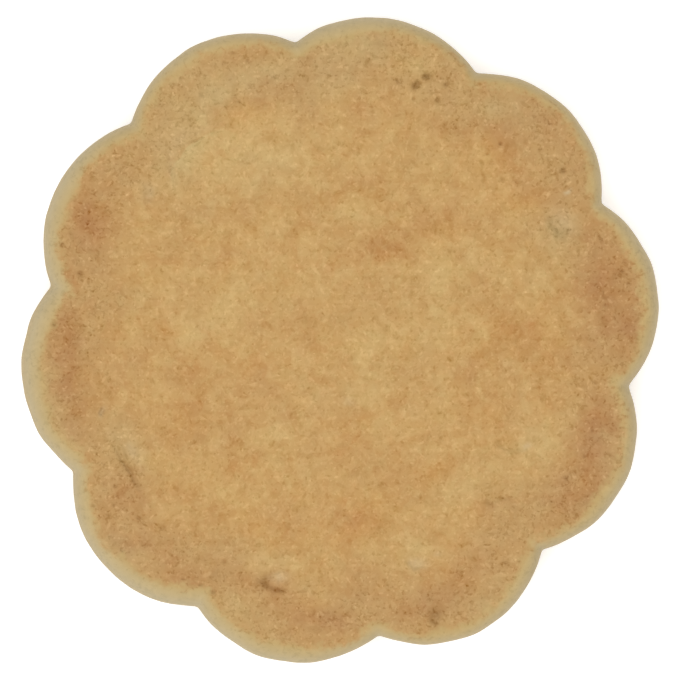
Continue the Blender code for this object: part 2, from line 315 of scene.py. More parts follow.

# Small pits of the face, as the dents: place, length, width, turn and depth, which also sets the
# painted shade in them
PITS = (
    (9.0, 27.2, 0.98, 0.74, 0, 0.44),
    (7.9, 26.3, 0.90, 0.74, 50, 0.42),
    (6.1, 26.7, 0.66, 0.40, -40, 0.24),
    (5.4, 27.0, 0.48, 0.30, 0, 0.16),
    (11.0, 26.4, 0.66, 0.48, 20, 0.24),
    (11.3, 25.7, 0.35, 0.26, 0, 0.14),
    (9.4, 25.7, 0.44, 0.26, 0, 0.11),
    (10.1, 24.8, 0.66, 0.38, 90, 0.26),
    (13.3, 25.7, 0.53, 0.22, 0, 0.14),
    (4.4, 25.0, 0.44, 0.31, 0, 0.13),
    (7.6, 24.9, 0.42, 0.32, 0, 0.20),
    (-0.9, 28.8, 0.44, 0.44, 0, 0.09),
    (16.6, 20.3, 0.44, 0.32, -30, 0.26),
    (15.3, 19.2, 0.44, 0.31, 30, 0.18),
    (14.7, 18.3, 0.44, 0.35, -30, 0.14),
    (16.8, 16.6, 0.44, 0.53, 90, 0.20),
    (15.8, 18.3, 0.35, 0.26, 0, 0.13),
    (18.2, 16.3, 0.44, 0.35, 0, 0.11),
    (23.0, 17.5, 0.66, 0.48, 10, 0.30),
    (24.2, 17.5, 0.35, 0.44, 90, 0.13),
    (23.3, 16.6, 0.35, 0.26, 0, 0.13),
    (21.6, 22.4, 0.79, 0.22, -55, 0.13),
    (20.3, 21.6, 0.61, 0.18, -40, 0.11),
    (20.7, 19.7, 0.44, 0.26, 0, 0.14),
    (22.2, 18.7, 0.53, 0.22, -30, 0.14),
    (21.5, 18.7, 0.35, 0.22, -50, 0.13),
    (26.8, 10.7, 1.30, 0.22, -62, 0.20),
    (29.7, 5.9, 0.35, 0.26, 0, 0.18),
    (29.4, 8.2, 0.44, 0.35, 0, 0.16),
    (29.1, 7.2, 0.44, 0.26, 20, 0.16),
    (27.4, 3.6, 0.53, 0.44, 0, 0.13),
    (31.0, 3.8, 0.35, 0.26, 0, 0.11),
    (26.4, -4.3, 0.61, 0.44, 0, 0.13),
    (-11.8, 28.7, 0.44, 0.31, 20, 0.18),
    (-10.9, 29.6, 0.44, 0.26, 0, 0.16),
    (-10.1, 29.4, 0.35, 0.26, 0, 0.13),
    (-9.4, 28.8, 0.44, 0.31, 0, 0.16),
    (-14.2, 25.3, 0.53, 0.35, 0, 0.16),
    (-10.4, 24.6, 0.44, 0.26, 0, 0.13),
    (-9.3, 26.3, 0.35, 0.35, 0, 0.13),
    (-6.6, 27.2, 0.44, 0.26, 0, 0.13),
    (-16.2, 27.0, 0.44, 0.35, 0, 0.14),
    (-26.7, 7.0, 0.50, 0.42, 0, 0.26),
    (-28.6, 9.9, 0.50, 0.42, 0, 0.22),
    (-29.4, 1.7, 0.50, 0.50, 0, 0.24),
    (-24.3, -7.1, 0.88, 0.44, 80, 0.13),
    (-23.1, -15.0, 0.53, 0.35, 10, 0.18),
    (-24.3, -12.6, 0.44, 0.26, -20, 0.16),
    (-20.7, -18.3, 0.53, 0.35, -30, 0.20),
    (-23.2, -17.0, 0.35, 0.35, 0, 0.20),
    (-25.4, -17.0, 0.44, 0.35, 0, 0.20),
    (-22.9, -16.0, 0.35, 0.26, 0, 0.14),
    (-23.8, -17.9, 0.53, 0.26, 0, 0.14),
    (-18.2, -19.3, 0.70, 0.61, 0, 0.18),
    (-13.0, -25.9, 0.53, 0.44, 0, 0.23),
    (-14.2, -25.2, 0.53, 0.35, 0, 0.16),
    (-16.1, -24.6, 0.44, 0.26, 0, 0.14),
    (-22.4, -21.7, 0.44, 0.26, -40, 0.16),
    (-23.6, -20.2, 0.61, 0.26, 0, 0.13),
    (-11.8, -22.7, 0.53, 0.35, 0, 0.16),
    (-8.0, -24.7, 0.53, 0.35, -40, 0.18),
    (-3.7, -25.8, 0.88, 0.22, 5, 0.13),
    (17.1, -22.9, 0.44, 0.35, 0, 0.16),
    (18.4, -22.7, 0.44, 0.26, 0, 0.14),
    (23.4, -14.2, 0.44, 0.35, 0, 0.18),
    (25.3, -11.9, 0.44, 0.26, 30, 0.14),
    (21.9, -16.5, 0.44, 0.26, 0, 0.14),
    (26.0, -9.3, 0.44, 0.26, 80, 0.14),
    (24.3, -16.5, 0.35, 0.26, 0, 0.14),
    (9.9, -28.4, 2.10, 1.45, 80, 0.27),
    (9.8, -28.9, 1.20, 1.10, 20, 0.29),
    (-21.8, -13.2, 5.20, 0.50, -59, 0.24),
    (-14.9, 20.6, 1.90, 0.22, 20, 0.16),
    (-7.9, -24.9, 1.70, 0.90, -55, 0.20),
    (-6.4, -25.8, 2.40, 0.60, -4, 0.12),
)
# Edges in pits and dents are cut this often. So are those close by, in ellipses that are this
# much longer and wider
PIT_CUTS = 2
PIT_REFINING = 0.4

# Points within this much of the thickness are on the browned face
FACE_TOLERANCE = 1e-4

# A dent's wall drops over this share of its half width on its steep lower left and elsewhere
DENT_WALLS = (0.72, 0.95)
DENT_SQUARENESS = 2.7
# The steep walls lie on this side of each dent, toward the key light, and turn away from it: the
# paint darkens them with painted shade
STEEP_SIDE = math.radians(228.0)

# Noise that pushes the shapes of dents, pits and patches about: lump size, reach and seed
DENT_WARPS = ((1.1, 0.22, 41), (0.45, 0.10, 42))
PIT_WARPS = DENT_WARPS[1:]
PATCH_WARPS = ((5.0, 1.1, 31), (1.8, 0.5, 32), (0.8, 0.22, 33))

# Relief of the face's crumb and bulges of the side: lump size, height and seed. The relief
# fades down the side with a power of the height, and the bulges over the lowest part of it
CRUMB = ((3.1, 0.030, 1), (1.4, 0.022, 2), (0.7, 0.016, 3))
BULGES = ((4.0, 0.06, 4), (1.6, 0.03, 5), (0.8, 0.015, 6))
RELIEF_FADE_POWER = 2
BULGE_FADE = 1.0

# Spacing of the mesh's points: in the middle of the face, near its edge, on the side and below
MIDDLE_SPACING = 0.34
RIM_SPACING = 0.22
SIDE_SPACING = 0.30
UNDERSIDE_SPACING = 1.0
SIDE_STEPS_BELOW = 12
SIDE_STEPS_ABOVE = 22

# From the rim to the middle the spacing widens over this width, and starts to after this
# share of it
WIDENING = 9.0
WIDENING_DELAY = 0.4

# Rows of even triangles lie this share of their spacing apart
ROW_SHARE = 0.866
FEWEST_RING_POINTS = 6

# Directions that the length of a ring and the mean reach of an edge are worked out from, and
# the small turn that the slope of the outline is measured over
TRIAL_POINTS = 720
MEAN_DIRECTIONS = np.linspace(0.0, 6.28, 360)
SLOPE_STEP = 0.01

# Brightness of a white sheet under the scene's light, and the paint's step in red, green
# and blue for one display level at the face's colour
LIGHT_LEVEL = 1.23
LEVEL_STEP = (0.00568, 0.00422, 0.00243)

# The lobes' own tone comes in between these distances from the face's edge. Some of the
# mottling is weaker there, by the shares named as loss
LOBE_ZONE = (8.5, 3.0)
LOBE_TINT = (-6.5, -5.5, -1.5)
MOTTLE_LOSS = 0.30
BLOT_LOSS = 0.35
TORN_LOSS = 0.30
PORE_GAIN = 0.13
STROKE_GAIN = 0.20

# Browning of the crust, as a share: its middle, the placed patches, and noise given as size,
# detail, distortion and strength
MIDDLE_BROWN = 0.44
PATCH_STRENGTH = 0.36
LOBE_PATCH_STRENGTH = 0.02
BROWN_NOISES = (
    (12.0, 1.0, 0.0, 0.04),
    (5.0, 1.0, 0.4, 0.09),
    (2.4, 1.0, 0.5, 0.14),
    (1.0, 1.0, 0.5, 0.12),
)

# Display colours of the crust, from pale to well browned, with the browning for each
CRUST_COLOURS = (
    (0.0, (210, 177, 115)),
    (0.42, (203, 161, 100)),
    (0.75, (194, 147, 90)),
    (1.0, (183, 134, 82)),
)
# Colour of the pale places by the dents, bare crumb with painted light on their lit walls, and
# the size of its grain
BARED_AND_LIT_COLOUR = (207, 178, 132)
BARED_AND_LIT_GRAIN = 0.5

# Display colours of the side, from the face's edge down, with the share of SIDE_REACH for each.
# They grow paler and greyer down the side, partly paler dough and partly painted light that lifts
# the steep side where it turns away from the overhead light
SIDE_REACH = 2.0
SIDE_COLOURS = (
    (0.0, (200, 170, 112)),
    (0.3, (200, 175, 124)),
    (0.8, (200, 181, 140)),
    (1.0, (200, 178, 134)),
)

# Blots and torn flecks with crisp edges: size, distortion, threshold and display levels.
# The blots are shared out over red, green and blue by their tint
FLECK_EDGE = 0.02
BLOT_NOISE = (3.0, 5.0)
BLOT_DISTORTION = 0.3
BLOTS = (
    (3.0, 0.4, 0.01, 3.2),
    (1.5, 0.5, 0.05, 3.2),
    (3.4, 0.8, 0.05, -3.6),
    (1.8, 0.8, 0.05, -3.4),
)
BLOT_TINT = (0.60, 1.0, 0.92)
TORN_START = 0.3
TORN = (
    (0.95, 0.5, 0.07, 4.2),
    (0.60, 0.4, 0.12, 4.5),
    (1.4, 0.5, 0.07, -3.6),
    (0.75, 0.4, 0.11, -4.5),
)

# Small changes from greenish to orange: smooth ones as size and strength, and flakes as size,
# fraying and strength
WARM_NOISES = ((3.2, 1.1), (1.3, 1.0))
WARM_FLAKES = ((1.4, 1.0, 0.35), (0.6, 0.4, 0.40))
WARM_TINT = (2.0, 0.1, -2.4)

# Pores gather in clusters. They open between these two values of the noise, and the open
# pores are darkened with painted shade
CLUSTER_SIZE = 3.0
CLUSTER_STRENGTH = 0.40
PORE_SIZE = 0.40
PORE_DISTORTION = 0.6
PORE_OPENING = (0.23, 0.31)
PORE_SHADE_LEVELS = -10.0

# Painted shade in the pits, growing with their depth, and on the steep walls of dents, in display
# levels
PIT_SHADE_LEVELS = 55.0
PIT_SHADE_GROWTH = 70.0
CREASE_SHADE_LEVELS = 60.0
SHADE_TINT = (-1.0, -0.92, -0.78)

# The crust ends in an uneven line round the face's edge: noise size, detail and reach. It
# fades out between two distances, and the pale side keeps this share of the fine flecks
CRUST_WANDERS = ((5.0, 1.0, 1.8), (1.3, 1.0, 1.7), (0.4, 2.0, 1.1))
WANDER_ROUGHNESS = 0.55
CRUST_EDGE = (-0.60, 0.60)
SIDE_FLECKS = 0.7

# Short strokes of the crust: cell size, length, width and display levels
STROKES = (
    (2.2, 2.0, 0.80, 4.0),
    (1.5, 1.4, 0.50, 7.0),
    (1.0, 0.9, 0.34, 9.0),
    (0.70, 0.60, 0.26, 10.0),
    (0.45, 0.33, 0.22, 10.0),
)

# Finest relief, as bump: shares of the pore noise, of light and dark flecks, and of pores
BUMP_NOISE = 0.3
BUMP_FLECK = 0.15
BUMP_PORE = -0.5
BUMP_STRENGTH = 0.5
BUMP_HEIGHT = 0.06
DOUGH_ROUGHNESS = 0.75
DOUGH_SPECULAR = 0.25

# Floor and light, in metres: an area light has azimuth, elevation, distance, size and power
FLOOR_SIZE = 4.0
FLOOR_BRIGHTNESS = 0.97
FLOOR_ROUGHNESS = 0.9
FLOOR_GLOW = 0.28
LIGHTS = {
    "key": (222.0, 60.0, 0.9, 0.8, 2.9),
    "fill": (35.0, 84.0, 1.2, 1.4, 8.0),
}
ROOM_LIGHT = 0.52

# Width of the photograph at the height of the widest line, with a long lens
FRAME_WIDTH = 70.2
LENS = 250.0
SENSOR = 36.0
NEAREST_VIEW = 0.01

WHITE = (1.0, 1.0, 1.0, 1.0)


def random_waves(source, count, lowest, highest):
    """Return seeded rows of wave length or count, direction and phase."""
    size = source.uniform(lowest, highest, count)
    direction = source.uniform(0.0, math.pi, count)
    phase = source.uniform(0.0, 2.0 * math.pi, count)
    return list(zip(size, direction, phase))


wave_source = np.random.RandomState(WAVE_SEED)
FACE_WAVES = random_waves(wave_source, WAVE_COUNT, *WAVE_LENGTHS)
EDGE_WAVES = random_waves(wave_source, OUTLINE_WAVES, *OUTLINE_WAVE_COUNTS)


def full_turn(count):
    """Directions spread evenly all the way round."""
    return np.linspace(0.0, 2.0 * math.pi, count, endpoint=False)


def round_trip(angle, directions, values):
    """A value that changes evenly between the given directions in degrees."""
    return np.interp(angle, np.radians(directions), values, period=2.0 * math.pi)


def side_inset(angle):
    """How far the side curves in above the widest line, in the given directions."""
    return round_trip(angle, [row[0] for row in LOBES], [row[3] for row in LOBES])


def outline(angle, inset):
    """Distance from the middle to the edge: the outer hull of the lobe circles, set in."""
    softness = VALLEY_SOFTNESS + VALLEY_SOFTNESS_PER_INSET * inset
    total = np.zeros_like(angle)
    for direction, reach, radius, _ in LOBES:
        turn = angle - math.radians(direction)
        half_chord = (radius - inset) ** 2 - (reach * np.sin(turn)) ** 2
        ahead = (np.cos(turn) > 0.0) & (half_chord > 0.0)
        hit = reach * np.cos(turn) + np.sqrt(np.maximum(half_chord, 0.0))
        total += np.where(ahead, np.exp(hit / softness), 0.0)
    distance = softness * np.log(total)
    for count, _, phase in EDGE_WAVES:
        distance += OUTLINE_WAVE_HEIGHT * np.sin(round(count) * angle + phase)
    return distance


def foot_edge(angle):
    """The edge of the flat resting face."""
    return outline(angle, FOOT_INSET)


def face_edge(angle):
    """The edge of the browned face."""
    return outline(angle, side_inset(angle))


def local_place(x, y, row):
    """Places along and across a spot, as shares of its half length and half width."""
    spot_x, spot_y, length, width, turn = row[:5]
    turn = math.radians(turn)
    along = (x - spot_x) * math.cos(turn) + (y - spot_y) * math.sin(turn)
    across = (y - spot_y) * math.cos(turn) - (x - spot_x) * math.sin(turn)
    return 2.0 * along / length, 2.0 * across / width


def spot(x, y, row):
    """How far each place lies from a spot's middle, squared: 1 at the rim of its ellipse."""
    along, across = local_place(x, y, row)
    return along ** 2 + across ** 2


def corner_value(cell, seed):
    """A repeatable number from -1 to 1 for each corner of the noise's lattice.

    The corner's numbers are scrambled by the usual large odd factors and shifts of a hash.
    """
    mixed = cell[:, 0] * 73856093 ^ cell[:, 1] * 19349663 ^ cell[:, 2] * 83492791
    mixed = (mixed ^ (seed * 40503)) & 0xFFFFFFFF
    mixed = (mixed ^ (mixed >> 15)) * 739982445 & 0xFFFFFFFF
    mixed = (mixed ^ (mixed >> 12)) * 695872825 & 0xFFFFFFFF
    return ((mixed ^ (mixed >> 15)) & 0xFFFF) / 32767.5 - 1.0


def eased(share):
    """A share cut off at 0 and 1, with a soft start and end."""
    share = np.clip(share, 0.0, 1.0)
    return share * share * (3.0 - 2.0 * share)


def lumps(points, size, seed):
    """Smooth noise from -1 to 1 with lumps of the given size."""
    place = points / size
    cell = np.floor(place).astype(np.int64)
    part = eased(place - cell)
    total = np.zeros(len(points))
    for corner in np.ndindex(2, 2, 2):
        step = np.array(corner)
        weight = np.prod(np.where(step, part, 1.0 - part), axis=1)
        total += weight * corner_value(cell + step, seed)
    return total


def layered_lumps(points, rows):
    """Sum of smooth noises: rows of lump size, height and seed."""
    return sum(height * lumps(points, size, seed) for size, height, seed in rows)


def warped(points, warps):
    """The points' x and y, pushed about by noise: rows of lump size, reach and seed."""
    x, y = points[:, 0].copy(), points[:, 1].copy()
    for size, reach, seed in warps:
        x += reach * lumps(points, size, seed)
        y += reach * lumps(points, size, seed + 50)
    return x, y


def face_waves(x, y):
    """The broad waves of the browned face, as in the solid."""
    height = np.zeros_like(x)
    for length, direction, phase in FACE_WAVES:
        along = x * math.cos(direction) + y * math.sin(direction)
        height += WAVE_HEIGHT * np.sin(2.0 * math.pi * along / length + phase)
    return height


def walled_place(x, y, row, side):
    """Reach of each place in a walled spot, 1 at its rim, and how far it faces the side."""
    along, across = local_place(x, y, row)
    size_along, size_across = np.abs(along), np.abs(across)
    power = DENT_SQUARENESS
    reach = (size_along ** power + size_across ** power) ** (1.0 / power)
    out_along = np.sign(along) * size_along ** (power - 1.0) / row[2]
    out_across = np.sign(across) * size_across ** (power - 1.0) / row[3]
    turned = side - math.radians(row[4])
    facing = out_along * math.cos(turned) + out_across * math.sin(turned)
    return reach, facing / np.maximum(np.hypot(out_along, out_across), 1e-9)


def face_dents(x, y):
    """Depth of the dents at the given places, and the strength of the painted shade on their
    steep walls.
    """
    depth = np.zeros_like(x)
    crease_shade = np.zeros_like(x)
    steep_wall, easy_wall = DENT_WALLS
    for row in DENTS.values():
        reach, facing = walled_place(x, y, row, STEEP_SIDE)
        wall = easy_wall + (steep_wall - easy_wall) * (0.5 + 0.5 * facing)
        share = eased((1.0 - reach) / wall)
        depth = np.maximum(depth, row[5] * share)
        steep = 4.0 * share * (1.0 - share) * np.sqrt(np.maximum(0.0, facing))
        crease_shade = np.maximum(crease_shade, row[5] * steep)
    return depth, crease_shade


def face_pits(x, y):
    """Depth of the small pits at the given places."""
    depth = np.zeros_like(x)
    for row in PITS:
        depth = np.maximum(depth, row[5] * np.exp(-spot(x, y, row)))
    return depth


def painted_spots(x, y, rows):
    """Sum of the spots' strengths at the given places."""
    total = np.zeros_like(x)
    for row in rows:
        total += row[5] * np.exp(-spot(x, y, row))
    return total


def flap_strength(x, y):
    """Strength of the flap of paler crust at the given places."""
    reach, facing = walled_place(x, y, FLAP, FLAP_SIDE)
    crisp = eased((1.0 - reach) / FLAP_EDGE)
    fading = np.clip(1.0 - (1.0 - reach) / FLAP_WIDTH, 0.0, 1.0)
    return FLAP[5] * crisp * fading * np.maximum(0.0, facing)


def spaced_ring(radius_at, height, spacing):
    """Points round a closed ring, evenly spread in angle at about the given spacing."""
    length = 2.0 * math.pi * float(radius_at(full_turn(TRIAL_POINTS)).mean())
    count = max(FEWEST_RING_POINTS, round(length / spacing))
    angle = full_turn(count)
    distance = radius_at(angle)
    x = distance * np.cos(angle)
    y = distance * np.sin(angle)
    return np.column_stack((x, y, np.full(count, height)))


def underside_rings():
    """Rings of the flat resting face, from near its middle out to its edge."""
    rings = []
    mean = float(foot_edge(MEAN_DIRECTIONS).mean())
    count = round(mean / (ROW_SHARE * UNDERSIDE_SPACING))
    for step in range(1, count):
        share = step / count
        rings.append(spaced_ring(lambda a: foot_edge(a) * share, 0.0, UNDERSIDE_SPACING))
    return rings


def side_rings():
    """Rings of the side, from the resting face's edge to the browned face's edge."""
    rings = []
    for step in range(SIDE_STEPS_BELOW):
        quarter = 0.5 * math.pi * step / SIDE_STEPS_BELOW
        inset = FOOT_INSET * (1.0 - math.sin(quarter) ** (2.0 / FOOT_POWER))
        height = WIDEST_HEIGHT * (1.0 - math.cos(quarter) ** (2.0 / FOOT_POWER))
        rings.append(spaced_ring(lambda a: outline(a, inset), height, SIDE_SPACING))
    for step in range(SIDE_STEPS_ABOVE + 1):
        quarter = 0.5 * math.pi * step / SIDE_STEPS_ABOVE
        share = 1.0 - max(0.0, math.cos(quarter)) ** (2.0 / SHOULDER_POWER)
        rise = math.sin(quarter) ** (2.0 / SHOULDER_POWER)
        height = WIDEST_HEIGHT + (THICKNESS - WIDEST_HEIGHT) * rise
        spacing = SIDE_SPACING + (RIM_SPACING - SIDE_SPACING) * rise
        rings.append(
            spaced_ring(lambda a: outline(a, side_inset(a) * share), height, spacing)
        )
    return rings


def face_rings():
    """Rings of the browned face, from its edge in to its middle, closer near the edge."""
    rings = []
    mean = float(face_edge(MEAN_DIRECTIONS).mean())
    distance = mean
    while True:
        widening = min(1.0, max(0.0, (mean - distance) / WIDENING - WIDENING_DELAY))
        spacing = RIM_SPACING + (MIDDLE_SPACING - RIM_SPACING) * widening
        distance -= ROW_SHARE * spacing
        if distance < 0.5 * spacing:
            return rings
        share = distance / mean
        rings.append(spaced_ring(lambda a: face_edge(a) * share, THICKNESS, spacing))


def stitched(rings):
    """Join rings of different counts into one closed surface with a point at each end."""
    starts = np.cumsum([0] + [len(ring) for ring in rings])
    faces = []
    for index in range(len(rings) - 1):
        first, second = len(rings[index]), len(rings[index + 1])
        low, high = int(starts[index]), int(starts[index + 1])
        a = b = 0
        while a < first or b < second:
            corner_a, corner_b = low + a % first, high + b % second
            if b >= second or (a < first and (a + 0.5) / first <= (b + 0.5) / second):
                faces.append((corner_a, low + (a + 1) % first, corner_b))
                a += 1
            else:
                faces.append((corner_a, high + (b + 1) % second, corner_b))
                b += 1
    points = np.vstack(rings)
    bottom, top = len(points), len(points) + 1
    points = np.vstack((points, [[0.0, 0.0, 0.0], [0.0, 0.0, THICKNESS]]))
    first, last = len(rings[0]), len(rings[-1])
    faces += [((k + 1) % first, k, bottom) for k in range(first)]
    start = int(starts[-2])
    faces += [(start + k, start + (k + 1) % last, top) for k in range(last)]
    return points, faces


def refined(points, faces):
    """Split the triangles of the face that lie in or near a pit or dent into smaller ones."""
    mesh = bpy.data.meshes.new("rough")
    mesh.from_pydata(points.tolist(), [], faces)
    shape = bmesh.new()
    shape.from_mesh(mesh)
    bpy.data.meshes.remove(mesh)
    shape.verts.ensure_lookup_table()
    x, y, z = points.T
    near = np.zeros(len(points), bool)
    for row in (*PITS, FLAP, *DENTS.values()):
        wide = (row[0], row[1], row[2] + PIT_REFINING, row[3] + PIT_REFINING, row[4])
        near |= spot(x, y, wide) < 1.0
    near &= z > THICKNESS - FACE_TOLERANCE
    edges = [e for e in shape.edges if near[e.verts[0].index] and near[e.verts[1].index]]
    bmesh.ops.subdivide_edges(shape, edges=edges, cuts=PIT_CUTS, use_grid_fill=True)
    bmesh.ops.triangulate(shape, faces=[f for f in shape.faces if len(f.verts) > 3])
    mesh = bpy.data.meshes.new("shortbread")
    shape.to_mesh(mesh)
    shape.free()
    fine = np.zeros(len(mesh.vertices) * 3)
    mesh.vertices.foreach_get("co", fine)
    return mesh, fine.reshape(-1, 3)


def inward_reach(x, y, z):
    """How far each place lies in from the face's edge, negative down the side."""
    angle = np.arctan2(y, x)
    edge = face_edge(angle)
    change = face_edge(angle + SLOPE_STEP) - face_edge(angle - SLOPE_STEP)
    slope = change / (2.0 * SLOPE_STEP) / edge
    inward = (edge - np.hypot(x, y)) / np.sqrt(1.0 + slope ** 2)
    below = np.maximum(0.0, WIDEST_HEIGHT - z)
    return np.where(z < WIDEST_HEIGHT, -side_inset(angle) - below, inward)


def side_rise(z):
    """How far up each place is, from 0 at the widest line to 1 at the browned face."""
    return np.clip((z - WIDEST_HEIGHT) / (THICKNESS - WIDEST_HEIGHT), 0.0, 1.0)


def shaped(points, places, dents, pits):
    """The points with the face's relief and the side's bulges, set over the origin."""
    x, y, z = points.T
    rise = side_rise(z)
    relief = face_waves(x, y) + layered_lumps(places, CRUMB) - dents
    side = np.clip(z / BULGE_FADE, 0.0, 1.0) * (1.0 - rise ** 4)
    push = 1.0 + side * layered_lumps(places, BULGES) / np.maximum(np.hypot(x, y), 1.0)
    height = z + rise ** RELIEF_FADE_POWER * relief - pits
    moved = np.column_stack((x * push, y * push, height))
    middle = (moved.min(axis=0) + moved.max(axis=0)) / 2.0
    moved[:, :2] -= middle[:2]
    return moved


def paint_places(points, places):
    """Values that the paint goes by at each point, apart from the dents and pits."""
    x, y, z = points.T
    pale_reach = round_trip(np.arctan2(y, x), *zip(*PALE_REACH))
    spot_x, spot_y = warped(places, PATCH_WARPS)
    dent_warp_x, dent_warp_y = warped(places, DENT_WARPS)
    flap = flap_strength(dent_warp_x, dent_warp_y)
    on_face = z > THICKNESS - FACE_TOLERANCE
    return {
        "inward": inward_reach(x, y, z) - pale_reach * side_rise(z),
        "patches": painted_spots(spot_x, spot_y, BROWNED + PALE) - flap,
        "warmth": painted_spots(spot_x, spot_y, WARMTH) - FLAP_GREENNESS * flap,
        # Pale places by the dents: bare crumb, and painted light on their lit walls
        "bared_and_lit": painted_spots(dent_warp_x, dent_warp_y, BARED_AND_LIT) * on_face,
    }


def build_cookie():
    """The dough as one closed mesh, which carries the places of its paint as attributes."""
    points, faces = stitched(underside_rings() + side_rings() + face_rings())
    mesh, points = refined(points, faces)
    places = points * (NEARNESS, NEARNESS, 1.0)
    on_face = points[:, 2] > THICKNESS - FACE_TOLERANCE
    dents, crease_shade = face_dents(*warped(places, DENT_WARPS))
    pits = face_pits(*warped(places, PIT_WARPS)) * on_face
    paints = paint_places(points, places)
    # The pits' depth and the steep walls' strength set the painted shade in the paint
    paints["hollow"] = pits
    paints["crease_shade"] = crease_shade * on_face

    mesh.vertices.foreach_set("co", (shaped(points, places, dents, pits) * MM).ravel())
    mesh.update()
    mesh.shade_smooth()
    for name, values in paints.items():
        attribute = mesh.attributes.new(name, "FLOAT", "POINT")
        attribute.data.foreach_set("value", values.astype(np.float32))
    piece = bpy.data.objects.new("shortbread", mesh)
    bpy.context.scene.collection.objects.link(piece)
    return piece


def linear(part):
    """One channel of a display colour, 0 to 255, as linear light."""
    share = part / 255.0
    return share / 12.92 if part <= 10 else ((share + 0.055) / 1.055) ** 2.4


def painted(colour):
    """The paint that looks like the given display colour under this scene's light."""
    return tuple(linear(part) / LIGHT_LEVEL for part in colour) + (1.0,)


class Paint:
    """A small helper that adds nodes to one material."""

    def __init__(self, name):
        self.material = bpy.data.materials.new(name)
        self.material.use_nodes = True
        self.tree = self.material.node_tree
        self.shader = self.tree.nodes["Principled BSDF"]
        self.coords = None

    def node(self, kind, **settings):
        made = self.tree.nodes.new(kind)
        for key, value in settings.items():
            setattr(made, key, value)
        return made

    def join(self, value, socket):
        """Set a socket to a number or link another node's output to it."""
        if isinstance(value, bpy.types.NodeSocket):
            self.tree.links.new(value, socket)
        else:
            socket.default_value = value

    def math(self, operation, first, second=0.0, third=0.0):
        made = self.node("ShaderNodeMath", operation=operation)
        for value, socket in zip((first, second, third), made.inputs):
            self.join(value, socket)
        return made.outputs[0]

    def vector_math(self, operation, *values):
        made = self.node("ShaderNodeVectorMath", operation=operation)
        for value, socket in zip(values, made.inputs):
            self.join(value, socket)
        return made.outputs["Value" if operation == "LENGTH" else "Vector"]

    def scaled(self, vector, share):
        made = self.node("ShaderNodeVectorMath", operation="SCALE")
        self.join(vector, made.inputs[0])
        self.join(share, made.inputs["Scale"])
        return made.outputs[0]

    def attribute(self, name):
        return self.node("ShaderNodeAttribute", attribute_name=name).outputs["Fac"]

    def places(self):
        """Object coordinates in millimetres."""
        if self.coords is None:
            source = self.node("ShaderNodeTexCoord").outputs["Object"]
            self.coords = self.scaled(source, 1.0 / MM)
        return self.coords

    def texture(self, kind, place, scale, **settings):
        """A noise or cell texture at the given place and scale."""
        made = self.node(kind, **settings)
        self.join(place, made.inputs["Vector"])
        self.join(scale, made.inputs["Scale"])
        return made

    def noise(self, size, detail=2.0, roughness=0.5, distortion=0.0):
        """Noise about 0 with lumps of the given size."""
        made = self.texture("ShaderNodeTexNoise", self.places(), 1.0 / size)
        self.join(detail, made.inputs["Detail"])
        self.join(roughness, made.inputs["Roughness"])
        self.join(distortion, made.inputs["Distortion"])
        return self.math("SUBTRACT", made.outputs[0], 0.5)

    def flakes(self, size, fraying):
        """A random value about 0 for each flake of the given size, with frayed edges."""
        fray = self.texture("ShaderNodeTexNoise", self.places(), 1.3 / size)
        push = (fraying, fraying, fraying)
        place = self.vector_math("MULTIPLY_ADD", fray.outputs["Color"], push, self.places())
        cells = self.texture("ShaderNodeTexVoronoi", place, 1.0 / size)
        return self.math("SUBTRACT", cells.outputs["Color"], 0.5)

    def strokes(self, size, length, width):
        """Short strokes turned every way, one in each cell: light or dark, most of them faint."""
        cells = self.texture(
            "ShaderNodeTexVoronoi", self.places(), 1.0 / size, voronoi_dimensions="2D"
        )
        random_parts = self.node("ShaderNodeSeparateColor")
        self.join(cells.outputs["Color"], random_parts.inputs[0])
        offset = self.vector_math("SUBTRACT", self.places(), cells.outputs["Position"])
        turned = self.node("ShaderNodeVectorRotate", rotation_type="Z_AXIS")
        self.join(offset, turned.inputs["Vector"])
        angle = self.math("MULTIPLY", random_parts.outputs[0], 2.0 * math.pi)
        self.join(angle, turned.inputs["Angle"])
        shares = (2.0 / length, 2.0 / width, 0.0)
        reach = self.vector_math(
            "LENGTH", self.vector_math("MULTIPLY", turned.outputs[0], shares)
        )
        inside = self.smooth_step(reach, 1.0, 0.6)
        value = self.math("MULTIPLY_ADD", random_parts.outputs[1], 2.0, -1.0)
        strength = self.math("MULTIPLY", value, self.math("ABSOLUTE", value))
        return self.math("MULTIPLY", strength, inside)

    def smooth_step(self, value, low, high):
        made = self.node("ShaderNodeMapRange", interpolation_type="SMOOTHSTEP")
        self.join(value, made.inputs["Value"])
        self.join(low, made.inputs["From Min"])
        self.join(high, made.inputs["From Max"])
        return made.outputs[0]

    def flecks(self, rows, total):
        """Add crisp flecks to a total: rows of size, distortion, threshold and levels."""
        masks = []
        for size, distortion, lowest, levels in rows:
            layer = self.noise(size, 1.0, distortion=distortion)
            masks.append(self.smooth_step(layer, lowest, lowest + FLECK_EDGE))
            total = self.math("MULTIPLY_ADD", masks[-1], levels, total)
        return total, masks

    def weakened(self, value, where, loss):
        """A value that loses the given share of itself where told."""
        return self.math("MULTIPLY", value, self.math("MULTIPLY_ADD", where, -loss, 1.0))

    def ramp(self, value, stops):
        """The paint between display colours, by their places."""
        made = self.node("ShaderNodeValToRGB")
        elements = made.color_ramp.elements
        while len(elements) < len(stops):
            elements.new(1.0)
        for element, (place, colour) in zip(elements, stops):
            element.position = place
            element.color = painted(colour)
        self.join(value, made.inputs[0])
        return made.outputs[0]

